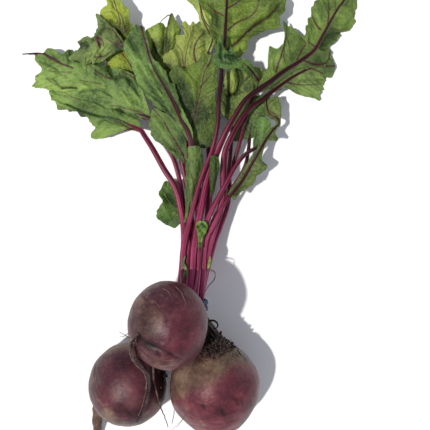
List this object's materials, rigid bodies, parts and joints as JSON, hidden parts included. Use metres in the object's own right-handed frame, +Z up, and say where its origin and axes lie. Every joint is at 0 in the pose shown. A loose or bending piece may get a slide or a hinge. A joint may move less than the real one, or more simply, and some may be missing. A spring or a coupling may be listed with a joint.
{
  "type": "beetroot bunch",
  "caption": "Beetroots with long leafy tops, tied with a band into one bunch that lies on its side.",
  "frame": {"origin": "on the surface, under the middle of the whole bunch's bounding box", "axes": "+Z up, +Y from the roots towards the tips of the leaves, +X across the bunch"},
  "size_m": [0.2678, 0.3954, 0.105],
  "materials": {
    "skin": "matt root skin, crimson brown",
    "stalk": "smooth, satin, crimson",
    "leaf": "soft satin green with crimson veins",
    "band": "satin blue band"
  },
  "bodies": {
    "root": {"beet_left": "skin", "beet_right": "skin", "beet_top": "skin", "blade_big_right": "leaf", "blade_broad": "leaf", "blade_bud": "leaf", "blade_centre": "leaf", "blade_crumpled": "leaf", "blade_curled": "leaf", "blade_dark_left": "leaf", "blade_far_left": "leaf", "blade_hidden_right": "leaf", "blade_hooked": "leaf", "blade_long": "leaf", "blade_low_left": "leaf", "blade_low_right": "leaf", "blade_pale_left": "leaf", "blade_pointed": "leaf", "blade_round_left": "leaf", "blade_slim_top": "leaf", "blade_sliver": "leaf", "blade_small_left": "leaf", "blade_strip": "leaf", "blade_tall": "leaf", "blade_twisted": "leaf", "stalk_big_right": "stalk", "stalk_broad": "stalk", "stalk_bud": "stalk", "stalk_centre": "stalk", "stalk_crumpled": "stalk", "stalk_curled": "stalk", "stalk_dark_left": "stalk", "stalk_far_left": "stalk", "stalk_hidden_right": "stalk", "stalk_hooked": "stalk", "stalk_long": "stalk", "stalk_low_left": "stalk", "stalk_low_right": "stalk", "stalk_pale_left": "stalk", "stalk_pointed": "stalk", "stalk_round_left": "stalk", "stalk_slim_top": "stalk", "stalk_sliver": "stalk", "stalk_small_left": "stalk", "stalk_strip": "stalk", "stalk_tall": "stalk", "stalk_twisted": "stalk", "tie": "band"}
  },
  "joints": []
}
